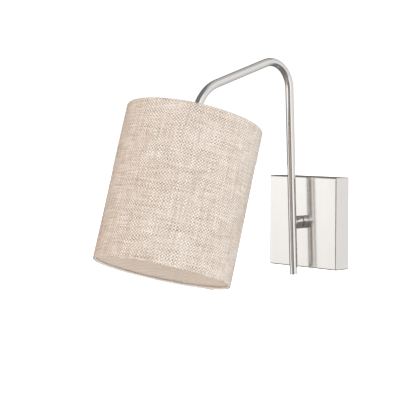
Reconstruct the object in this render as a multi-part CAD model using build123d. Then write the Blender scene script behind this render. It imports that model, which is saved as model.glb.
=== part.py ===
from build123d import *
import os
from math import asin, cos, degrees, radians, sin, sqrt

# A hard-wired wall lamp. A square wall plate carries a bent tube on a friction pivot, and the tube carries
# a lamp socket with a linen drum shade. Millimetres. The origin is the centre of the face that lies on the
# wall, +X points right for someone facing the wall, +Y into the wall and +Z up.

# ---- driving dimensions -------------------------------------------------------------------------------
inch = 25.4

plate_side = 5 * inch
plate_depth = 1 * inch
plate_wall = 1.2
plate_edge_radius = 2.0
backing_side = 44.0
backing_thickness = 2.0
base_diameter = 18.0
thread_diameter = 10.0  # M10 x 1 lamp thread
wire_bore = 7.0
running_clearance = 0.05  # radial, between the pivot nipple and its bearing

tube_diameter = 7 / 16 * inch
tube_wall = 1.0
pivot_reach = 19.3  # from the plate's front face to the centre line of the upright
upright_below = 72.0  # from the pivot to the tube's lower end
upright_above = 233.5  # from the pivot to the corner of the first bend
run_slope = 17.8  # degrees that the slanting run falls below level
run_length = 173.0  # between the corners of the two bends
upper_bend_radius = 35.0
lower_bend_radius = 56.0
drop_to_shade = 40.7  # from the second corner to the plane of the shade's top rim
shade_tilt = 18.1  # degrees between the shade's axis and plumb
rest_swivel = -2.2  # degrees about +Y at which the friction pivot holds the arm
swivel_limit = 90.0  # degrees each side of plumb

shade_diameter = 7 * inch
shade_height = 8 * inch
linen_thickness = 0.8
liner_thickness = 0.5
hem_thickness = 0.6
hem_width = 3.0
ring_wire = 2.2
spider_wire = 3.0
spider_arms = 3
hub_depth = 38.5  # from the top rim down to the spider's hub

cable_diameter = 4.0
cable_bend_radius = 5.0
lead_diameter = 1.8

strap_width = 22.0
strap_thickness = 1.6
strap_tab_depth = 12.0
strap_gap = 0.1  # between the cover's inside and each tab
box_screw_spacing = 3.5 * inch
box_slot_length = 14.0
box_slot_width = 4.6

# ---- frames -------------------------------------------------------------------------------------------
plate_front = -plate_depth
upright_y = plate_front - pivot_reach
tube_radius = tube_diameter / 2
tube_bore = tube_radius - tube_wall


def downhill(angle):
    """The unit vector that leaves the wall and falls by an angle below level."""
    return Vector(0, -cos(radians(angle)), -sin(radians(angle)))


tube_foot = Vector(0, upright_y, -upright_below)
first_corner = Vector(0, upright_y, upright_above)
second_corner = first_corner + run_length * downhill(run_slope)
shade_axis = downhill(90 - shade_tilt)
shade_top = second_corner + drop_to_shade * shade_axis

# Local z is the distance in front of the plate, and local y is up.
pivot_frame = Plane(origin=(0, plate_front, 0), x_dir=(1, 0, 0), z_dir=(0, -1, 0))
# Local z is the distance below the plane of the shade's top rim, along the shade's axis.
shade_frame = Plane(origin=shade_top, x_dir=(1, 0, 0), z_dir=shade_axis)


# ---- shapes used by several parts ---------------------------------------------------------------------
def turned(*outline):
    """A solid of revolution about Z, from (radius, z) corners."""
    return revolve(make_face(Plane.XZ * Polyline(*outline, close=True)), Axis.Z)


def rod(radius, low, high):
    return Pos(0, 0, (low + high) / 2) * Cylinder(radius, high - low)


def ring(outer, inner, low, high):
    return rod(outer, low, high) - rod(inner, low, high)


def block(size_x, size_y, low, high):
    return Pos(0, 0, (low + high) / 2) * Box(size_x, size_y, high - low)


def hex_nut(across_flats, bore, low, high):
    outline = RegularPolygon(across_flats / 2, 6, major_radius=False)
    return Pos(0, 0, low) * extrude(outline, high - low) - rod(bore, low, high)


def bar_along(path, radius):
    """A round bar whose centre line is the path."""
    return sweep(Plane(origin=path @ 0, z_dir=path % 0) * Circle(radius), path=path)


def round_the_axis(count, shape):
    return [Rot(0, 0, 360 / count * step) * shape for step in range(count)]


# ---- wall plate ---------------------------------------------------------------------------------------
spigot_radius = 6.5
backing_back = -(plate_wall + backing_thickness)  # in the pivot frame
cover_screw_y = -7.0
cover_screw_radius = 2.0
cover_screw_head_radius = 3.2
cover_screw_length = 6.0


def cover_screws():
    """Countersunk screws through the plate's top and bottom walls, their heads flush with it."""
    top = plate_side / 2
    screw = turned(
        (0, top),
        (cover_screw_head_radius, top),
        (cover_screw_radius, top - plate_wall),
        (cover_screw_radius, top - cover_screw_length),
        (0, top - cover_screw_length),
    )
    upper = Pos(0, cover_screw_y, 0) * screw
    return [upper, Rot(0, 180, 0) * upper]


def slotted(screw_pair):
    """The cover screws with a driver slot across each head."""
    slots = Box(0.9, 8, 2 * plate_side) - Box(0.9, 8, plate_side - 1.2)
    return [screw - Pos(0, cover_screw_y, 0) * slots for screw in screw_pair]


def plate_cover():
    """A square box of sheet steel, open at the wall, with softened outer edges."""
    shell = Pos(0, plate_front / 2, 0) * Box(plate_side, plate_depth, plate_side)
    shell = fillet(shell.edges().filter_by(Axis.Y), plate_edge_radius)
    shell = fillet(shell.faces().sort_by(Axis.Y)[0].edges(), plate_edge_radius)
    hollow_side = plate_side - 2 * plate_wall
    hollow_depth = plate_depth - plate_wall
    shell -= Pos(0, -hollow_depth / 2, 0) * Box(hollow_side, hollow_depth, hollow_side)
    shell -= pivot_frame * rod(spigot_radius, -2 * plate_wall, plate_wall)
    return shell - cover_screws()


stop_pin_radius = 1.5
stop_pin_circle = 12.5
stop_pin_end = -6.8  # in the pivot frame


def backing_plate():
    """A steel plate spot-welded behind the thin front wall, to carry the pivot."""
    plate = block(backing_side, backing_side, backing_back, -plate_wall)
    plate = fillet(plate.edges().filter_by(Axis.Z), 4)
    plate -= rod(spigot_radius, backing_back, -plate_wall)
    plate -= Pos(0, -stop_pin_circle, 0) * rod(stop_pin_radius, backing_back, -plate_wall)
    return pivot_frame * plate


def stop_pin():
    return pivot_frame * Pos(0, -stop_pin_circle, 0) * rod(stop_pin_radius, stop_pin_end, -plate_wall)


base_height = 4.0
bearing_radius = thread_diameter / 2 + running_clearance


def pivot_base():
    """The fixed half of the knuckle: a disc with a spigot riveted into the plate."""
    edge = base_diameter / 2
    bevel = 0.5
    disc = turned(
        (bearing_radius, backing_back),
        (spigot_radius, backing_back),
        (spigot_radius, 0),
        (edge, 0),
        (edge, base_height - bevel),
        (edge - bevel, base_height),
        (bearing_radius, base_height),
    )
    return pivot_frame * disc


ground_screw_z = -22.0
ground_boss_height = 1.5
ground_thread_radius = 2.4


def strap_slots():
    """The slots that take the outlet box's screws."""
    slot = extrude(SlotOverall(box_slot_length, box_slot_width, rotation=90), 4 * strap_thickness)
    facing = Plane(origin=(0, 2 * strap_thickness, 0), x_dir=(1, 0, 0), z_dir=(0, -1, 0)) * slot
    return [Pos(0, 0, side * box_screw_spacing / 2) * facing for side in (-1, 1)]


def mounting_strap():
    """A flat strap against the wall, with a tab at each end for the cover and a boss for the earth screw."""
    half = plate_side / 2 - plate_wall - strap_gap
    strap = Pos(0, -strap_thickness / 2, 0) * Box(strap_width, strap_thickness, 2 * half)
    tab = Box(strap_width, strap_tab_depth, strap_thickness)
    for side in (-1, 1):
        strap += Pos(0, -strap_tab_depth / 2, side * (half - strap_thickness / 2)) * tab
    boss = Rot(90, 0, 0) * rod(4.2, strap_thickness - 0.2, strap_thickness + ground_boss_height)
    strap += Pos(0, 0, ground_screw_z) * boss
    strap -= strap_slots()
    strap -= Pos(0, 0, ground_screw_z) * Rot(90, 0, 0) * rod(ground_thread_radius, -1, 9)
    return strap - cover_screws()


lug_thickness = 0.8
lug_rise = 8.0


def lug_seat():
    """The height of the earth lug's lower face in front of the wall."""
    return strap_thickness + ground_boss_height


def earth_lug():
    """A ring terminal with a crimped barrel that points up the strap."""
    low = lug_seat()
    eye = ring(4.4, ground_thread_radius, low, low + lug_thickness)
    neck = Pos(0, 6.2, low + lug_thickness / 2) * Box(2.6, 4.4, lug_thickness)
    barrel = Pos(0, lug_rise, low + 1.3) * Rot(-90, 0, 0) * rod(1.7, 0, 5)
    bore = Pos(0, lug_rise, low + 1.3) * Rot(-90, 0, 0) * rod(lead_diameter / 2, 1, 5)
    keep_off = block(20, 60, low - 4, low)
    return Pos(0, 0, ground_screw_z) * Rot(90, 0, 0) * (eye + neck + (barrel - keep_off) - bore)


def ground_screw():
    seat = lug_seat() + lug_thickness
    screw = turned(
        (0, 0.3),
        (ground_thread_radius, 0.3),
        (ground_thread_radius, seat),
        (4.0, seat),
        (4.0, seat + 1.2),
        (2.9, seat + 2.2),
        (0, seat + 2.2),
    )
    screw -= block(1.0, 9, seat + 1.4, seat + 3)
    return Pos(0, 0, ground_screw_z) * Rot(90, 0, 0) * screw


# ---- leads in the wall plate --------------------------------------------------------------------------
cable_rear_y = -10.0
lead_circle = 1.06
connector_base = Vector(16.0, -9.0, 27.0)
connector_lean = Vector(2.0, -1.0, 10.0)
connector_length = 18.0


def lead_start(turn):
    angle = radians(turn)
    return Vector(lead_circle * cos(angle), cable_rear_y, lead_circle * sin(angle))


def supply_lead(side):
    """An insulated lead from the cable's end into a wire connector."""
    start = lead_start(30 if side > 0 else 150)
    end = Vector(side * connector_base.X, connector_base.Y, connector_base.Z)
    lean = Vector(side * connector_lean.X, connector_lean.Y, connector_lean.Z).normalized()
    route = [
        start,
        Vector(start.X, -5.0, start.Z),
        Vector(side * 7.5, -5.6, 6.5),
        end - 11 * lean,
        end + 7 * lean,
    ]
    return bar_along(FilletPolyline(*route, radius=[2.1, 3.6, 8.0]), lead_diameter / 2)


def earth_lead():
    start = lead_start(270)
    seat = -(lug_seat() + 1.3)
    tip = Vector(0, seat, ground_screw_z + lug_rise + 1.0)
    route = [start, Vector(0, -6.4, start.Z), Vector(0, seat, -8.0), tip]
    return bar_along(FilletPolyline(*route, radius=[1.6, 6.0]), lead_diameter / 2)


def wire_connectors():
    """Two twist-on connectors, each closed at the far end with the lead inside its mouth."""
    outline = turned(
        (0, 0),
        (5.4, 0),
        (5.4, 1.6),
        (4.8, 2.4),
        (3.6, connector_length - 1),
        (2.6, connector_length),
        (0, connector_length),
    )
    fins = round_the_axis(6, Pos(4.7, 0, 4.6) * Box(1.2, 1.2, 6))
    shell = outline + fins - rod(lead_diameter / 2, -1, 7)
    made = []
    for side in (-1, 1):
        base = Vector(side * connector_base.X, connector_base.Y, connector_base.Z)
        lean = Vector(side * connector_lean.X, connector_lean.Y, connector_lean.Z)
        made.append(Plane(origin=base, x_dir=(0, 1, 0), z_dir=lean) * shell)
    return made


# ---- pivot, moving with the arm -----------------------------------------------------------------------
washer_front = base_height + 1.0
collar_back = 6.0  # where the collar reaches its full diameter
collar_front = 10.6
neck_start = 13.2
nipple_front = 12.0
nipple_back = -13.0
flat_width = 9.0
wave_thickness = 1.2
stop_thickness = 1.6
nut_thickness = 4.0
wave_back = backing_back - wave_thickness
stop_back = wave_back - stop_thickness
nut_back = stop_back - nut_thickness


def friction_washer():
    return pivot_frame * ring(7.4, bearing_radius, base_height, washer_front)


def knuckle_collar():
    """The moving half of the knuckle, bored for the nipple and saddled to the back of the upright."""
    edge = base_diameter / 2
    bevel = 0.6
    body = turned(
        (wire_bore / 2, washer_front),
        (7.4, washer_front),
        (7.4, collar_back),
        (edge - bevel, collar_back),
        (edge, collar_back + bevel),
        (edge, collar_front - bevel),
        (edge - bevel, collar_front),
        (5.6, neck_start),
        (4.9, pivot_reach),
        (wire_bore / 2, pivot_reach),
    )
    body -= rod(thread_diameter / 2, washer_front, nipple_front)
    upright = Pos(0, 0, pivot_reach) * Rot(90, 0, 0) * rod(tube_radius, -30, 30)
    return pivot_frame * (body - upright)


def pivot_nipple():
    """A hollow threaded stem with two flats over its rear half."""
    stem = rod(thread_diameter / 2, nipple_back, nipple_front)
    keep = block(flat_width, 20, nipple_back, wave_back) + block(20, 20, wave_back, nipple_front)
    return pivot_frame * ((stem & keep) - rod(wire_bore / 2, nipple_back, nipple_front))


def wave_washer():
    """The spring washer that sets the pivot's friction."""
    return pivot_frame * ring(8.4, bearing_radius, wave_back, backing_back)


def stop_washer():
    """A washer keyed to the nipple's flats, with a notch below whose ends meet the fixed pin."""
    rim = 14.6
    root = 10.6
    play = 0.3
    reach = 30.0
    rise = radians(swivel_limit + degrees(asin(stop_pin_radius / stop_pin_circle)) + play - 90)
    side_x = reach * cos(rise)
    side_y = reach * sin(rise)
    outline = Polyline((0, 0), (side_x, side_y), (side_x, reach), (-side_x, reach), (-side_x, side_y), close=True)
    lobe = Pos(0, 0, stop_back) * extrude(make_face(outline), stop_thickness)
    body = rod(root, stop_back, wave_back) + (lobe & rod(rim, stop_back, wave_back))
    key = rod(thread_diameter / 2, stop_back, wave_back) & block(flat_width, 20, stop_back, wave_back)
    return pivot_frame * (body - key)


def pivot_locknut():
    return pivot_frame * hex_nut(14.0, thread_diameter / 2, nut_back, stop_back)


bush_flange = 1.0
bush_bore = cable_diameter / 2 + 0.3


def nipple_bush():
    """A plastic bush that keeps the cable off the nipple's rear edge."""
    bush = turned(
        (bush_bore, nipple_back - bush_flange),
        (5.0, nipple_back - bush_flange),
        (5.0, nipple_back),
        (wire_bore / 2, nipple_back),
        (wire_bore / 2, nipple_back + 4),
        (bush_bore, nipple_back + 4),
    )
    return pivot_frame * bush


# ---- bent tube ----------------------------------------------------------------------------------------
tube_end_depth = 8.0  # the tube's end, below the shade's top rim
cable_end_depth = 19.5


def arm_path(foot, end_depth, radii):
    """The centre line of the arm from its foot to a depth inside the shade."""
    end = shade_top + end_depth * shade_axis
    return FilletPolyline(*foot, first_corner, second_corner, end, radius=radii)


def arm_tube():
    path = arm_path([tube_foot], tube_end_depth, [upper_bend_radius, lower_bend_radius])
    section = Circle(tube_radius) - Circle(tube_bore)
    tube = sweep(Plane(origin=path @ 0, z_dir=path % 0) * section, path=path)
    return tube - pivot_frame * rod(wire_bore / 2, neck_start, pivot_reach)


def tube_plug():
    """A plug pressed flush into the tube's lower end."""
    plug = turned((0, 0), (tube_bore, 0), (tube_bore, 5.2), (tube_bore - 0.8, 6), (0, 6))
    return Pos(*tube_foot) * plug


def lamp_cable():
    """The cable inside the arm, from the wall plate's cavity to the socket's cap."""
    foot = [Vector(0, cable_rear_y, 0), Vector(0, upright_y, 0)]
    radii = [cable_bend_radius, upper_bend_radius, lower_bend_radius]
    return bar_along(arm_path(foot, cable_end_depth, radii), cable_diameter / 2)


# ---- socket -------------------------------------------------------------------------------------------
flange_bottom = 10.5
cap_inner_top = 13.0
cap_rim = 30.0
cap_radius = 17.0
cap_inner_radius = 15.0
nipple_end = 17.5
block_top = 27.0
well_top = 42.0
socket_end = 72.0
skirt_thread_radius = 19.75
hub_thickness = 1.5
terminal_offset = 9.0
terminal_radius = 1.5


def end_nipple():
    """The fitting brazed into the tube's end: a spigot, a flange and a threaded stem."""
    fitting = turned(
        (3.0, tube_end_depth - 12),
        (tube_bore, tube_end_depth - 12),
        (tube_bore, tube_end_depth),
        (7.5, tube_end_depth),
        (7.5, flange_bottom - 0.6),
        (6.9, flange_bottom),
        (thread_diameter / 2, flange_bottom),
        (thread_diameter / 2, nipple_end),
        (3.0, nipple_end),
    )
    return shade_frame * fitting


def socket_cap():
    cap = turned(
        (thread_diameter / 2, flange_bottom),
        (12.5, flange_bottom),
        (15.6, 11.4),
        (cap_radius, 14.0),
        (cap_radius, cap_rim),
        (cap_inner_radius, cap_rim),
        (cap_inner_radius, 15.0),
        (13.0, cap_inner_top),
        (thread_diameter / 2, cap_inner_top),
    )
    return shade_frame * cap


def cap_locknut():
    return shade_frame * hex_nut(14.0, thread_diameter / 2, cap_inner_top, cap_inner_top + 3)


def socket_body():
    """The moulded insulating body, with a well for the screw shell and an outer thread for the ring."""
    body = turned(
        (0, block_top),
        (cap_inner_radius, block_top),
        (cap_inner_radius, cap_rim),
        (cap_radius, cap_rim),
        (cap_radius, 35.0),
        (22.0, 35.6),
        (22.0, hub_depth),
        (skirt_thread_radius, hub_depth),
        (skirt_thread_radius, 60.0),
        (18.0, 61.0),
        (18.0, socket_end - 0.8),
        (17.2, socket_end),
        (15.0, socket_end),
        (15.0, well_top),
        (0, well_top),
    )
    body -= rod(2.0, block_top, well_top)
    for side in (-1, 1):
        body -= Pos(side * terminal_offset, 0, 0) * rod(terminal_radius, block_top, 34.0)
    return shade_frame * body


def threaded_shell(root, crest, thickness, low, turns, pitch):
    """A rolled sheet shell with rounded thread ridges, as (radius, z) steps along its height."""
    outer = [(root, low)]
    for turn in range(turns):
        base = low + turn * pitch
        outer += [(root, base + 0.12 * pitch), (crest, base + 0.38 * pitch)]
        outer += [(crest, base + 0.62 * pitch), (root, base + 0.88 * pitch)]
    outer.append((root, low + turns * pitch))
    inner = [(radius - thickness, height) for radius, height in reversed(outer)]
    return turned(*outer, *inner)


thread_pitch = 3.6
thread_turns = 6
shell_low = 46.0


def screw_shell():
    """The brass shell that the lamp bulb screws into, with a rim that sits on the well's floor."""
    shell = threaded_shell(14.1, 14.8, 0.5, shell_low, thread_turns, thread_pitch)
    foot = ring(14.1, 13.6, well_top, shell_low) + ring(14.1, 9.5, well_top, well_top + 0.5)
    return shade_frame * (shell + foot)


contact_height = 1.6


def centre_contact():
    """The rivet and domed plate that feed the bulb's tip."""
    contact = turned(
        (0, block_top - 1.4),
        (2.8, block_top - 1.4),
        (2.8, block_top),
        (2.0, block_top),
        (2.0, well_top),
        (6.5, well_top),
        (6.5, well_top + 0.7),
        (3.0, well_top + contact_height),
        (0, well_top + contact_height),
    )
    return shade_frame * contact


def terminal_screws():
    screw = turned(
        (0, block_top - 2.0),
        (2.6, block_top - 2.0),
        (2.6, block_top - 0.5),
        (terminal_radius, block_top - 0.5),
        (terminal_radius, 34.0),
        (0, 34.0),
    )
    screw -= block(0.7, 6, block_top - 2, block_top - 1.3)
    return [shade_frame * Pos(side * terminal_offset, 0, 0) * screw for side in (-1, 1)]


def terminal_plates():
    """Thin brass plates clamped under the terminal screws."""
    plate = block(6.4, 5.6, block_top - 0.5, block_top) - rod(terminal_radius, block_top - 1, block_top)
    return [shade_frame * Pos(side * terminal_offset, 0, 0) * plate for side in (-1, 1)]


def socket_leads():
    """The cable's two conductors, from its end to the terminal plates."""
    leads = []
    for side in (-1, 1):
        route = [
            (side * 1.0, 0, cable_end_depth),
            (side * 1.0, 0, cable_end_depth + 2.2),
            (side * 5.0, 1.9, block_top - 2.2),
            (side * 6.0, 3.8, block_top - 0.9),
        ]
        path = FilletPolyline(*route, radius=[1.8, 1.8])
        leads.append(shade_frame * bar_along(path, 0.8))
    return leads


def shade_ring():
    """The ribbed ring nut that clamps the shade's hub against the socket."""
    low = hub_depth + hub_thickness
    nut = turned(
        (skirt_thread_radius, low),
        (25.0, low),
        (25.0, low + 1.5),
        (23.4, low + 2.2),
        (23.4, low + 7.0),
        (22.6, low + 8.0),
        (skirt_thread_radius, low + 8.0),
    )
    ribs = round_the_axis(18, Pos(23.4, 0, low + 4.6) * Box(1.2, 1.6, 4.8))
    return shade_frame * (nut + ribs)


# ---- shade --------------------------------------------------------------------------------------------
shade_radius = shade_diameter / 2
liner_radius = shade_radius - linen_thickness
hem_radius = liner_radius - liner_thickness
ring_inset = 0.2
ring_radius = hem_radius - ring_wire / 2
ring_depth = ring_inset + ring_wire / 2
hub_inner_radius = 20.0
hub_outer_radius = 24.6


def wire_ring(depth):
    return Pos(0, 0, depth) * Torus(ring_radius, ring_wire / 2)


def shade_spider():
    """Three cranked wire arms, saddled to the top ring, and the hub that the socket passes through."""
    hub_middle = hub_depth + hub_thickness / 2
    hub = ring(hub_outer_radius, hub_inner_radius, hub_depth, hub_depth + hub_thickness)
    route = [
        (ring_radius - 0.6, 0, ring_depth + 0.5),
        (56.0, 0, ring_depth + 4.0),
        (34.0, 0, hub_middle - 2.2),
        (hub_outer_radius - 1.2, 0, hub_middle),
    ]
    arm = bar_along(FilletPolyline(*route, radius=[20.0, 9.0]), spider_wire / 2)
    arm -= rod(hub_inner_radius + 1.0, 0, 2 * hub_depth)
    arm -= wire_ring(ring_depth)
    clear_of_nut = ring(hub_outer_radius + 1.0, hub_inner_radius, hub_depth + hub_thickness, 2 * hub_depth)
    arm -= clear_of_nut
    arm -= ring(22.4, hub_inner_radius, 0, hub_depth)
    frame = hub
    for spoke in round_the_axis(spider_arms, arm):
        frame += spoke
    return shade_frame * Rot(0, 0, 90) * frame


def top_ring():
    return shade_frame * wire_ring(ring_depth)


def bottom_ring():
    return shade_frame * wire_ring(shade_height - ring_depth)


def shade_liner():
    """The stiff translucent cylinder that the linen is laminated to."""
    return shade_frame * ring(liner_radius, hem_radius, 0, shade_height)


def shade_linen():
    return shade_frame * ring(shade_radius, liner_radius, 0, shade_height)


def hem_bands():
    """The linen's turned-in edges, glued inside the liner behind each wire ring."""
    start = ring_inset + ring_wire
    upper = ring(hem_radius, hem_radius - hem_thickness, start, start + hem_width)
    lower = ring(
        hem_radius,
        hem_radius - hem_thickness,
        shade_height - start - hem_width,
        shade_height - start,
    )
    return [shade_frame * upper, shade_frame * lower]


# ---- bulb ---------------------------------------------------------------------------------------------
bulb_tip = well_top + contact_height
bulb_cap_low = 47.0
bulb_cap_end = 70.4
dome_radius = 30.0
dome_centre = 127.0
dome_wall = 1.2
housing_end = 109.0


def bulb_contact():
    button = turned((0, bulb_tip), (3.6, bulb_tip), (4.6, bulb_tip + 1), (0, bulb_tip + 1))
    return shade_frame * button


def bulb_insulator():
    cone = turned((0, bulb_tip + 1), (5.4, bulb_tip + 1), (11.0, bulb_cap_low), (0, bulb_cap_low))
    return shade_frame * cone


def bulb_cap():
    """The bulb's threaded metal cap."""
    shell = threaded_shell(12.6, 13.2, 0.5, bulb_cap_low, thread_turns, thread_pitch)
    neck_low = bulb_cap_low + thread_turns * thread_pitch
    shell += ring(12.6, 12.1, neck_low, bulb_cap_end)
    shell += ring(12.6, 9.0, bulb_cap_low, bulb_cap_low + 0.5)
    return shade_frame * shell


def dome_edge(radius):
    """The radius at which a dome of this radius meets the housing."""
    return sqrt(radius**2 - (dome_centre - housing_end) ** 2)


def bulb_housing():
    """The plastic cone between the cap and the dome."""
    top_radius = dome_edge(dome_radius)
    flank = ThreePointArc((13.4, bulb_cap_end), (17.2, 89.0), (top_radius, housing_end))
    base = Polyline(
        (top_radius, housing_end),
        (0, housing_end),
        (0, bulb_cap_end - 4),
        (12.1, bulb_cap_end - 4),
        (12.1, bulb_cap_end),
        (13.4, bulb_cap_end),
    )
    return shade_frame * revolve(make_face(Plane.XZ * (flank + base)), Axis.Z)


def bulb_dome():
    """The frosted dome, a thin shell closed on the housing."""
    shell = Sphere(dome_radius) - Sphere(dome_radius - dome_wall)
    cut = Pos(0, 0, dome_centre) * shell
    return shade_frame * (cut & block(80, 80, housing_end, dome_centre + dome_radius + 1))


# ---- assembly -----------------------------------------------------------------------------------------
wall_parts = {
    "plate_cover": plate_cover(),
    "backing_plate": backing_plate(),
    "stop_pin": stop_pin(),
    "pivot_base": pivot_base(),
    "mounting_strap": mounting_strap(),
    "cover_screws": slotted(cover_screws()),
    "earth_lug": earth_lug(),
    "ground_screw": ground_screw(),
    "live_lead": supply_lead(1),
    "neutral_lead": supply_lead(-1),
    "earth_lead": earth_lead(),
    "wire_connectors": wire_connectors(),
}

arm_parts = {
    "friction_washer": friction_washer(),
    "knuckle_collar": knuckle_collar(),
    "pivot_nipple": pivot_nipple(),
    "wave_washer": wave_washer(),
    "stop_washer": stop_washer(),
    "pivot_locknut": pivot_locknut(),
    "nipple_bush": nipple_bush(),
    "arm_tube": arm_tube(),
    "tube_plug": tube_plug(),
    "lamp_cable": lamp_cable(),
    "end_nipple": end_nipple(),
    "socket_cap": socket_cap(),
    "cap_locknut": cap_locknut(),
    "socket_body": socket_body(),
    "screw_shell": screw_shell(),
    "centre_contact": centre_contact(),
    "terminal_plates": terminal_plates(),
    "terminal_screws": terminal_screws(),
    "socket_leads": socket_leads(),
    "shade_ring": shade_ring(),
    "shade_spider": shade_spider(),
    "top_ring": top_ring(),
    "bottom_ring": bottom_ring(),
    "shade_liner": shade_liner(),
    "shade_linen": shade_linen(),
    "hem_bands": hem_bands(),
    "bulb_contact": bulb_contact(),
    "bulb_insulator": bulb_insulator(),
    "bulb_cap": bulb_cap(),
    "bulb_housing": bulb_housing(),
    "bulb_dome": bulb_dome(),
}


def solids_of(shape):
    """Every solid of a shape or of a list of shapes."""
    shapes = shape if isinstance(shape, list) else [shape]
    return [solid for item in shapes for solid in item.solids()]


def write(name, shape, turn):
    """One STEP file for one part, turned about the pivot's axis."""
    solids = [solid.rotate(Axis.Y, turn) for solid in solids_of(shape)]
    whole = solids[0] if len(solids) == 1 else Compound(children=solids)
    export_step(whole, f"parts/{name}.step")


os.makedirs("parts", exist_ok=True)
for part_name, part_shape in wall_parts.items():
    write(part_name, part_shape, 0)
for part_name, part_shape in arm_parts.items():
    write(part_name, part_shape, rest_swivel)

cable_route = arm_path(
    [Vector(0, cable_rear_y, 0), Vector(0, upright_y, 0)],
    cable_end_depth,
    [cable_bend_radius, upper_bend_radius, lower_bend_radius],
)
print("cable length", round(cable_route.length, 1))
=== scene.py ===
import math

import bpy
from mathutils import Matrix, Vector


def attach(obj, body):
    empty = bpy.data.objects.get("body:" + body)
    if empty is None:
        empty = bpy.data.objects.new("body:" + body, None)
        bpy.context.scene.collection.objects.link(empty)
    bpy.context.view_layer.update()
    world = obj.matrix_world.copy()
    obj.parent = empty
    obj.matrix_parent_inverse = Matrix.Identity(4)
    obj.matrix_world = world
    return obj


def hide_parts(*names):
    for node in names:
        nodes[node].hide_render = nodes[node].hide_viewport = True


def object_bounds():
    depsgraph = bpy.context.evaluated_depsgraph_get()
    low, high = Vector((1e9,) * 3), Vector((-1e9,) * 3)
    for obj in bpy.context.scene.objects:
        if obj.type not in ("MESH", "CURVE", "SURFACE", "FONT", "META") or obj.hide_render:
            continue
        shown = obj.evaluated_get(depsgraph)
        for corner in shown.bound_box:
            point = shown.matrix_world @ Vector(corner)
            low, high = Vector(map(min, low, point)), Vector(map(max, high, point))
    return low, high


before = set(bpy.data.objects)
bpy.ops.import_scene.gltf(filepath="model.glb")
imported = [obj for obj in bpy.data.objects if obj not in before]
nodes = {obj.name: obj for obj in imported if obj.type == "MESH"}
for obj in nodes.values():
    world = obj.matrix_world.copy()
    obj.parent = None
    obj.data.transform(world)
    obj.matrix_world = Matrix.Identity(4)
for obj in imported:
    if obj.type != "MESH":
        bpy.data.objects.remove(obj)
cad_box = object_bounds()

MM = 0.001


# ---- the shade's own frame ----------------------------------------------------------------------------
def surface_middle(node):
    """The middle of a CAD node's surface, weighted by area."""
    faces = nodes[node].data.polygons
    total = sum(face.area for face in faces)
    return sum((face.center * face.area for face in faces), Vector()) / total


def shade_frame():
    """A matrix whose z runs down the shade's axis from its top rim, with x towards the wall."""
    down = (surface_middle("bottom_ring") - surface_middle("top_ring")).normalized()
    wallward = Vector((0, 1, 0))
    toward_wall = (wallward - wallward.dot(down) * down).normalized()
    across = down.cross(toward_wall)
    linen = nodes["shade_linen"].data.vertices
    middle = surface_middle("shade_linen")
    top = middle + down * min((point.co - middle).dot(down) for point in linen)
    turn = Matrix((toward_wall, across, down)).transposed().to_4x4()
    return Matrix.Translation(top) @ turn


def reach(node, placed):
    """A node's largest radius about the placed frame's z axis, and its lowest and highest z."""
    inverse = placed.inverted()
    points = [inverse @ point.co for point in nodes[node].data.vertices]
    radius = max(math.hypot(point.x, point.y) for point in points)
    heights = [point.z for point in points]
    return radius, min(heights), max(heights)


SHADE = shade_frame()
SHADE_RADIUS, _, SHADE_HEIGHT = reach("shade_linen", SHADE)
HEM_RADIUS = reach("hem_bands", SHADE)[0]


# ---- material helpers ---------------------------------------------------------------------------------
class Graph:
    """A node tree, built in a few words."""

    def __init__(self, tree):
        self.tree = tree

    def add(self, kind, **settings):
        made = self.tree.nodes.new(kind)
        for name, value in settings.items():
            setattr(made, name, value)
        return made

    def feed(self, socket, value):
        """Links an output to a socket, or sets the socket to a plain value."""
        if isinstance(value, bpy.types.NodeSocket):
            self.tree.links.new(value, socket)
        else:
            socket.default_value = value

    def coordinates(self, kind):
        return self.add("ShaderNodeTexCoord").outputs[kind]

    def math(self, operation, first, second=0.0, third=0.0):
        made = self.add("ShaderNodeMath", operation=operation)
        for socket, value in zip(made.inputs, (first, second, third)):
            self.feed(socket, value)
        return made.outputs[0]

    def split(self, vector):
        made = self.add("ShaderNodeSeparateXYZ")
        self.feed(made.inputs[0], vector)
        return made.outputs

    def joined(self, x, y, z=0.0):
        made = self.add("ShaderNodeCombineXYZ")
        for socket, value in zip(made.inputs, (x, y, z)):
            self.feed(socket, value)
        return made.outputs[0]

    def scaled(self, vector, scale):
        made = self.add("ShaderNodeMapping")
        self.feed(made.inputs["Vector"], vector)
        made.inputs["Scale"].default_value = scale
        return made.outputs[0]

    def noise(self, vector, scale, detail=3.0, roughness=0.5):
        made = self.add("ShaderNodeTexNoise")
        self.feed(made.inputs["Vector"], vector)
        made.inputs["Scale"].default_value = scale
        made.inputs["Detail"].default_value = detail
        made.inputs["Roughness"].default_value = roughness
        return made.outputs["Fac"]

    def spread(self, value, low, high, to_low, to_high):
        """Maps a value from one range to another, held at the ends."""
        made = self.add("ShaderNodeMapRange")
        for socket, item in zip(made.inputs, (value, low, high, to_low, to_high)):
            self.feed(socket, item)
        return made.outputs[0]

    def blend(self, share, first, second):
        """One colour, then the other as share goes from 0 to 1."""
        made = self.add("ShaderNodeMix", data_type="RGBA")
        self.feed(made.inputs[0], share)
        for socket, colour in zip(made.inputs[6:8], (first, second)):
            self.feed(socket, colour if isinstance(colour, bpy.types.NodeSocket) else (*colour, 1))
        return made.outputs[2]


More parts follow.
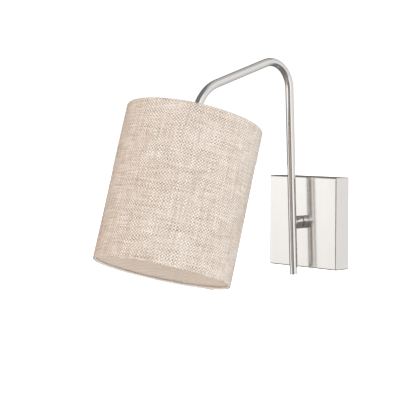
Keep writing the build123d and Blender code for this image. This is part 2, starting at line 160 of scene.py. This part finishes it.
class Shader(Graph):
    """A material with one surface shader."""

    def __init__(self, name):
        self.material = bpy.data.materials.new(name)
        self.material.use_nodes = True
        super().__init__(self.material.node_tree)
        self.surface = self.tree.nodes["Principled BSDF"]
        self.object = self.coordinates("Object")

    def bump(self, height, distance, strength=1.0):
        made = self.add("ShaderNodeBump")
        self.feed(made.inputs["Height"], height)
        made.inputs["Distance"].default_value = distance
        made.inputs["Strength"].default_value = strength
        self.feed(self.surface.inputs["Normal"], made.outputs[0])

    def set(self, **values):
        """Sets the surface shader's sockets, named with underscores for spaces."""
        for name, value in values.items():
            socket = self.surface.inputs[name.replace("_", " ")]
            if isinstance(value, tuple):
                value = (*value, 1)
            self.feed(socket, value)


def satin_metal(name, dark, light, roughness, grain, depth):
    """Plated or drawn metal. The grain is the noise's scale each way, so a small one is a long streak."""
    made = Shader(name)
    streak = made.noise(made.scaled(made.object, grain), 1.0, 4.0, 0.6)
    cloud = made.noise(made.object, 35.0, 2.0)
    mixed = made.math("MULTIPLY_ADD", cloud, 0.35, made.math("MULTIPLY", streak, 0.65))
    tone = made.spread(mixed, 0.3, 0.7, 0.0, 1.0)
    made.set(
        Metallic=1.0,
        Base_Color=made.blend(tone, dark, light),
        Roughness=made.spread(mixed, 0.3, 0.7, roughness[0], roughness[1]),
    )
    made.bump(streak, depth)
    return made.material


def moulded(name, dark, light, roughness, pitch, depth, **extra):
    """Moulded or extruded plastic, glass or lacquer with a fine orange-peel skin."""
    made = Shader(name)
    fine = made.noise(made.object, 1 / pitch, 4.0)
    broad = made.noise(made.object, 0.12 / pitch, 2.0)
    made.set(
        Base_Color=made.blend(made.spread(broad, 0.35, 0.65, 0.0, 1.0), dark, light),
        Roughness=made.spread(fine, 0.3, 0.7, roughness[0], roughness[1]),
        **extra,
    )
    made.bump(fine, depth)
    return made.material


# ---- linen --------------------------------------------------------------------------------------------
THREAD_PITCH = 2.1 * MM  # one pair of threads
CLOTH = 0.7 * MM
HEM_EDGE = 3.6 * MM  # how far the turned-in edge reaches from the rim
LAP = 10 * MM
LAP_RAMP = 3 * MM
RIPPLE = 0.08 * MM
RIM_PROUD = 0.35 * MM


def drum_coordinates(made):
    """Distance round the drum from the wall side and down its axis, in metres, in the shade's own frame."""
    x, y, depth = made.split(made.object)
    angle = made.math("ARCTAN2", made.math("MULTIPLY", y, -1.0), made.math("MULTIPLY", x, -1.0))
    return made.math("MULTIPLY", angle, SHADE_RADIUS), depth


def thread_tone(made, index, along, seed):
    """One thread's lightness: its own shade, slow changes along it, and slubs."""
    own = made.joined(made.math("MULTIPLY", index, 7.31), made.math("MULTIPLY", along, 0.07), seed)
    slub = made.joined(made.math("MULTIPLY", index, 1.37), made.math("MULTIPLY", along, 0.16), seed + 9)
    tone = made.noise(own, 1.0, 2.0)
    spot = made.spread(made.noise(slub, 1.0, 1.0), 0.58, 0.72, 0.0, 1.0)
    return made.math("MULTIPLY_ADD", spot, -0.35, made.spread(tone, 0.3, 0.7, 0.0, 1.0))


def rounded(made, place):
    """A rise and fall from 0 to 1 and back over each whole step of place."""
    return made.math("SINE", made.math("MULTIPLY", made.math("FRACT", place), math.pi))


def weave(made, pitch):
    """A basket weave of paired threads: its lightness, its height from 0 to 1, and which set is on top."""
    round_drum, down_drum = drum_coordinates(made)
    wander = made.noise(made.object, 60.0, 1.0)
    warp_place = made.math("MULTIPLY_ADD", wander, 1.2, made.math("DIVIDE", round_drum, pitch))
    weft_place = made.math("MULTIPLY_ADD", wander, 1.2, made.math("DIVIDE", down_drum, pitch))
    warp_pair = made.math("MULTIPLY", warp_place, 2.0)
    weft_pair = made.math("MULTIPLY", weft_place, 2.0)
    crossing = made.math("ADD", made.math("FLOOR", warp_place), made.math("FLOOR", weft_place))
    over = made.math("FLOORED_MODULO", crossing, 2.0)
    warp_arch = made.math("MULTIPLY_ADD", rounded(made, weft_place), 0.5, 0.5)
    weft_arch = made.math("MULTIPLY_ADD", rounded(made, warp_place), 0.5, 0.5)
    warp_top = made.math("MULTIPLY", rounded(made, warp_pair), warp_arch)
    weft_top = made.math("MULTIPLY", rounded(made, weft_pair), weft_arch)
    warp_tone = thread_tone(made, made.math("FLOOR", warp_pair), weft_place, 3.0)
    weft_tone = thread_tone(made, made.math("FLOOR", weft_pair), warp_place, 21.0)

    def chosen(on_warp, on_weft):
        step = made.math("SUBTRACT", on_warp, on_weft)
        return made.math("MULTIPLY_ADD", over, step, on_weft)

    return chosen(warp_tone, weft_tone), chosen(warp_top, weft_top), over


def linen_cloth():
    """Coarse linen of cream warp and tan weft, seen from outside, with painted shade darkening the low gaps
    between its threads.
    """
    made = Shader("linen")
    tone, height, over = weave(made, THREAD_PITCH)
    patch = made.noise(made.object, 22.0, 2.0)
    lightness = made.math("MULTIPLY_ADD", patch, 0.25, made.math("MULTIPLY_ADD", tone, 0.9, -0.02))
    warp = made.blend(lightness, (0.60, 0.46, 0.35), (1.0, 0.99, 0.96))
    weft = made.blend(lightness, (0.28, 0.185, 0.125), (0.84, 0.71, 0.60))
    colour = made.blend(over, weft, warp)
    # Painted shade: the colour darkens halfway to dark brown in the low places between the threads, where
    # shade would fall.
    painted_gap_shade = made.spread(height, 0.05, 0.45, 1.0, 0.0)
    colour = made.blend(made.math("MULTIPLY", painted_gap_shade, 0.5), colour, (0.34, 0.22, 0.145))
    made.set(Base_Color=colour, Roughness=made.spread(height, 0.0, 1.0, 0.4, 0.26))
    made.set(Specular_IOR_Level=0.8)
    made.bump(height, 0.03 * MM)
    return made.material


def liner_sheet():
    """Smooth translucent sheet with the weave behind it showing faintly."""
    made = Shader("shade_liner")
    tone, height, over = weave(made, THREAD_PITCH)
    share = made.math("MULTIPLY_ADD", tone, 0.35, made.math("MULTIPLY", over, 0.25))
    colour = made.blend(share, (0.78, 0.67, 0.57), (0.95, 0.89, 0.82))
    made.set(Base_Color=colour, Roughness=made.spread(height, 0.0, 1.0, 0.5, 0.42))
    made.set(Specular_IOR_Level=0.35)
    made.bump(height, 0.04 * MM)
    return made.material


def cover_profile():
    """The cloth's middle line from one turned-in edge to the other, as (radius, z, outward)."""
    outer = SHADE_RADIUS - CLOTH / 2
    inner = HEM_RADIUS - CLOTH / 2
    fold = (outer - inner) / 2
    centre = inner + fold
    first = fold + CLOTH / 2 - RIM_PROUD
    rows = []
    hem_steps = 5
    for step in range(hem_steps):
        depth = HEM_EDGE + (first - HEM_EDGE) * step / hem_steps
        rows.append((inner, depth, (-1, 0)))
    fold_steps = 8
    for step in range(fold_steps + 1):
        angle = math.pi * (1 - step / fold_steps)
        away = (math.cos(angle), -math.sin(angle))
        rows.append((centre + fold * away[0], first + fold * away[1], away))
    wall_steps = 48
    last = SHADE_HEIGHT - first
    for step in range(1, wall_steps):
        rows.append((outer, first + (last - first) * step / wall_steps, (1, 0)))
    mirrored = [(radius, SHADE_HEIGHT - depth, (away[0], -away[1])) for radius, depth, away in rows]
    top_half = rows[: hem_steps + fold_steps + 1]
    bottom_half = list(reversed(mirrored[: hem_steps + fold_steps + 1]))
    return top_half + rows[hem_steps + fold_steps + 1:] + bottom_half


def grid_mesh(name, rows):
    """A closed mesh from a grid of points whose first and last rows join."""
    columns = len(rows[0])
    count = len(rows)
    faces = []
    for row in range(count):
        following = (row + 1) % count
        for column in range(columns - 1):
            faces.append((
                row * columns + column,
                following * columns + column,
                following * columns + column + 1,
                row * columns + column + 1,
            ))
    faces.append([row * columns for row in reversed(range(count))])
    faces.append([row * columns + columns - 1 for row in range(count)])
    mesh = bpy.data.meshes.new(name)
    mesh.from_pydata([point for row in rows for point in row], [], faces)
    mesh.update()
    return mesh


def linen_cover():
    """The linen as one strip round the drum, its ends lapped at the back and its edges turned in."""
    profile = cover_profile()
    around = 2 * math.pi * SHADE_RADIUS
    length = around + LAP
    columns = 300
    places = [length * step / columns for step in range(columns + 1)]
    rows = []
    for side in (1, -1):
        ordered = profile if side == 1 else list(reversed(profile))
        for radius, depth, away in ordered:
            row = []
            for place in places:
                lift = CLOTH * min(1.0, max(0.0, (place - around + LAP_RAMP) / LAP_RAMP))
                ripple = RIPPLE * math.sin(3 * place / SHADE_RADIUS + 40 * depth)
                offset = side * CLOTH / 2 + lift + ripple
                angle = (place - LAP / 2) / SHADE_RADIUS
                distance = radius + offset * away[0]
                row.append((distance * math.cos(angle), distance * math.sin(angle), depth + offset * away[1]))
            rows.append(row)
    mesh = grid_mesh("linen_cover", rows)
    piece = bpy.data.objects.new("linen_cover", mesh)
    bpy.context.scene.collection.objects.link(piece)
    piece.matrix_world = SHADE
    for face in mesh.polygons:
        face.use_smooth = len(face.vertices) == 4
    piece.data.materials.append(linen_cloth())
    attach(piece, "arm")
    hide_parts("shade_linen", "hem_bands")
    return piece


# ---- finishes of the CAD parts ------------------------------------------------------------------------
def dress(material, *names):
    """Gives CAD nodes a material in every slot."""
    for name in names:
        slots = nodes[name].data.materials
        slots.clear()
        slots.append(material)


def dress_all():
    nickel = ((0.86, 0.83, 0.80), (0.94, 0.915, 0.885))
    for name, roughness, grain, depth, parts in (
        ("plate_nickel", (0.12, 0.2), (1400, 1400, 12), 0.006 * MM, ["plate_cover"]),
        ("tube_nickel", (0.13, 0.2), (500, 500, 500), 0.006 * MM, ["arm_tube", "tube_plug"]),
        ("turned_nickel", (0.12, 0.2), (600, 60, 600), 0.01 * MM, ["pivot_base", "knuckle_collar"]),
        ("fitting_nickel", (0.2, 0.3), (700, 700, 700), 0.01 * MM, ["end_nipple", "cover_screws"]),
    ):
        dress(satin_metal(name, *nickel, roughness, grain, depth), *parts)
    zinc = ((0.50, 0.51, 0.53), (0.70, 0.71, 0.73))
    dress(
        satin_metal("zinc_steel", *zinc, (0.3, 0.45), (240, 240, 60), 0.02 * MM),
        "backing_plate", "mounting_strap", "stop_pin", "pivot_nipple", "stop_washer", "pivot_locknut",
        "cap_locknut",
    )
    spring = ((0.24, 0.23, 0.23), (0.40, 0.39, 0.38))
    dress(satin_metal("spring_steel", *spring, (0.3, 0.4), (300, 300, 300), 0.01 * MM), "wave_washer")
    rolled = ((0.66, 0.46, 0.20), (0.82, 0.62, 0.32))
    dress(
        satin_metal("brass", *rolled, (0.22, 0.34), (350, 350, 120), 0.012 * MM),
        "earth_lug", "screw_shell", "centre_contact", "terminal_plates", "terminal_screws", "bulb_contact",
    )
    dyed = ((0.05, 0.26, 0.10), (0.10, 0.40, 0.17))
    dress(satin_metal("green_screw", *dyed, (0.28, 0.4), (300, 300, 300), 0.01 * MM), "ground_screw")
    dress(
        moulded("frame_wire", (0.78, 0.77, 0.75), (0.88, 0.87, 0.85), (0.28, 0.4), 0.9 * MM, 0.02 * MM),
        "shade_spider", "top_ring", "bottom_ring",
    )
    capped = ((0.66, 0.66, 0.66), (0.82, 0.82, 0.82))
    dress(satin_metal("bulb_cap", *capped, (0.2, 0.3), (300, 300, 300), 0.01 * MM), "bulb_cap")
    insulation = ((0.4, 0.55), 0.4 * MM, 0.01 * MM)
    for name, dark, light, part in (
        ("black_lead", (0.015, 0.015, 0.015), (0.03, 0.03, 0.03), "live_lead"),
        ("socket_lead", (0.02, 0.02, 0.02), (0.04, 0.04, 0.04), "socket_leads"),
        ("white_lead", (0.72, 0.71, 0.68), (0.84, 0.83, 0.80), "neutral_lead"),
        ("green_lead", (0.04, 0.25, 0.08), (0.08, 0.36, 0.13), "earth_lead"),
    ):
        dress(moulded(name, dark, light, *insulation), part)
    jacket = ((0.66, 0.65, 0.62), (0.78, 0.77, 0.74))
    dress(moulded("cable_jacket", *jacket, (0.45, 0.6), 0.5 * MM, 0.02 * MM), "lamp_cable")
    orange = ((0.66, 0.20, 0.03), (0.82, 0.30, 0.06))
    dress(moulded("connector_plastic", *orange, (0.3, 0.42), 0.5 * MM, 0.015 * MM), "wire_connectors")
    dress(
        moulded("nylon", (0.03, 0.03, 0.03), (0.07, 0.07, 0.07), (0.4, 0.55), 0.4 * MM, 0.01 * MM),
        "friction_washer", "nipple_bush",
    )
    dress(
        moulded("socket_plastic", (0.70, 0.69, 0.66), (0.82, 0.81, 0.78), (0.38, 0.5), 0.6 * MM, 0.02 * MM),
        "socket_cap", "socket_body", "shade_ring",
    )
    dress(
        moulded(
            "bulb_insulator", (0.01, 0.01, 0.012), (0.03, 0.03, 0.035), (0.08, 0.16), 0.8 * MM, 0.01 * MM,
        ),
        "bulb_insulator",
    )
    dress(
        moulded("bulb_plastic", (0.82, 0.82, 0.80), (0.90, 0.90, 0.88), (0.3, 0.4), 0.8 * MM, 0.01 * MM),
        "bulb_housing",
    )
    dress(
        moulded(
            "bulb_dome", (0.88, 0.88, 0.85), (0.95, 0.95, 0.93), (0.35, 0.5), 0.5 * MM, 0.01 * MM,
            Subsurface_Weight=0.4, Subsurface_Scale=0.004,
        ),
        "bulb_dome",
    )
    dress(liner_sheet(), "shade_liner")


# ---- floor, lights and camera -------------------------------------------------------------------------
FLOOR_POWER = 3.7
BACKDROP = 1.1  # the level that the camera sees at least
DARK_ROOM = 0.18  # what metal mirrors between the panels
FILL = 1.04  # the level of the light that falls on the lamp
PANEL_EDGE = 9.0  # degrees
PANEL_FADE = 0.08  # in sines of elevation
FULL_HEIGHT = (-2.0, 2.0)


def pale_floor():
    """A large plain floor, well below a lamp hung at its usual height.

    It has a light of its own, and the lamp neither mirrors it nor takes light from it.
    """
    side = 60.0
    drop = 1.3
    height = cad_box[0].z - drop
    mesh = bpy.data.meshes.new("floor")
    half = side / 2
    corners = [(-half, -half, height), (half, -half, height), (half, half, height), (-half, half, height)]
    mesh.from_pydata(corners, [], [(0, 1, 2, 3)])
    floor = bpy.data.objects.new("floor", mesh)
    bpy.context.scene.collection.objects.link(floor)
    made = Shader("floor")
    broad = made.noise(made.object, 1.5, 2.0)
    made.set(Base_Color=made.blend(broad, (0.93, 0.93, 0.93), (0.96, 0.96, 0.96)), Roughness=0.9)
    made.set(Specular_IOR_Level=0.0)
    mesh.materials.append(made.material)
    floor.visible_glossy = False
    floor.visible_diffuse = False
    light_only(floor, "floor_light", FLOOR_POWER)


def light_only(target, name, power):
    """A soft light from straight above for one object alone."""
    group = bpy.data.collections.new(name)
    group.objects.link(target)
    light = bpy.data.lights.new(name, "SUN")
    light.energy = power
    light.angle = math.radians(60)
    light_object = bpy.data.objects.new(name, light)
    bpy.context.scene.collection.objects.link(light_object)
    light_object.light_linking.receiver_collection = group


def panel(graph, azimuth, height, middle, half_width, low, high, level, fade=PANEL_FADE):
    """A soft-edged bright panel in the room, in degrees of azimuth and in sines of elevation."""
    edge = min(PANEL_EDGE, half_width)
    turned = graph.math("WRAP", graph.math("SUBTRACT", azimuth, middle), 180.0, -180.0)
    across = graph.spread(graph.math("ABSOLUTE", turned), half_width - edge, half_width + edge, 1.0, 0.0)
    above = graph.spread(height, low - fade, low + fade, 0.0, 1.0)
    below = graph.spread(height, high - PANEL_FADE, high + PANEL_FADE, 1.0, 0.0)
    lit = graph.math("MULTIPLY", across, graph.math("MULTIPLY", above, below))
    return graph.math("MULTIPLY", lit, level)


def mirrored_room(graph, azimuth, height):
    """The surround that gloss alone sees: a dark room with six soft panels round the lamp."""
    room = DARK_ROOM
    for middle, half_width, low, high, level, fade in (
        (-116, 31, -0.35, 0.22, 1.15, 0.35),
        (-58, 34, 0.18, 0.62, 0.95, PANEL_FADE),
        (-9, 22, -0.4, 0.76, 1.08, PANEL_FADE),
        (36, 26, -0.35, 0.85, 0.81, 0.15),
        (84, 34, -0.6, 0.75, 0.66, 0.15),
        (60, 80, 0.75, 2.0, 0.5, 0.1),
    ):
        lit = panel(graph, azimuth, height, middle, half_width, low, high, level, fade)
        room = graph.math("MAXIMUM", room, lit)
    return room


def soft_fill(graph, azimuth, height):
    """The light on the lamp: even, a little stronger at two sides and weak from the wall."""
    lighting = FILL
    for middle, half_width, level in ((20, 45, 0.18), (-125, 35, 0.3), (140, 55, -0.85)):
        side = panel(graph, azimuth, height, middle, half_width, *FULL_HEIGHT, level)
        lighting = graph.math("ADD", side, lighting)
    return lighting


def white_studio():
    """The surround: at least BACKDROP for the camera, mirrored_room for gloss and soft_fill for the rest."""
    world = bpy.data.worlds.new("studio")
    world.use_nodes = True
    world.cycles.sampling_method = "NONE"
    bpy.context.scene.world = world
    graph = Graph(world.node_tree)
    x, y, z = graph.split(graph.coordinates("Generated"))
    azimuth = graph.math("DEGREES", graph.math("ARCTAN2", y, x))
    mirrored = mirrored_room(graph, azimuth, z)
    lighting = soft_fill(graph, azimuth, z)
    path = graph.add("ShaderNodeLightPath")
    glossy = path.outputs["Is Glossy Ray"]
    strength = graph.math("MULTIPLY_ADD", glossy, graph.math("SUBTRACT", mirrored, lighting), lighting)
    backdrop = graph.math("MULTIPLY", path.outputs["Is Camera Ray"], BACKDROP)
    strength = graph.math("MAXIMUM", strength, backdrop)
    far_side = panel(graph, azimuth, z, -172, 38, *FULL_HEIGHT, 1.0)
    warmth = graph.math("MULTIPLY", far_side, path.outputs["Is Diffuse Ray"])
    colour = graph.blend(warmth, (1.0, 1.0, 1.0), (1.0, 0.74, 0.5))
    background = graph.tree.nodes["Background"]
    graph.feed(background.inputs["Strength"], strength)
    graph.feed(background.inputs["Color"], colour)


def camera():
    """A long lens from the lamp's front right, a little above it."""
    azimuth = math.radians(47.35)
    elevation = math.radians(3.86)
    distance = 1.84
    aim = Vector((-0.1025, -0.1094, 0.0181))
    level = math.cos(elevation)
    back = Vector((math.sin(azimuth) * level, -math.cos(azimuth) * level, math.sin(elevation)))
    data = bpy.data.cameras.new("camera")
    data.sensor_width = 36
    data.lens = 113.12
    taker = bpy.data.objects.new("camera", data)
    bpy.context.scene.collection.objects.link(taker)
    taker.location = aim + distance * back
    taker.rotation_mode = "QUATERNION"
    taker.rotation_quaternion = back.to_track_quat("Z", "Y")
    bpy.context.scene.camera = taker


camera()
white_studio()
pale_floor()
bpy.context.scene.view_settings.view_transform = "Standard"

dress_all()
linen_cover()
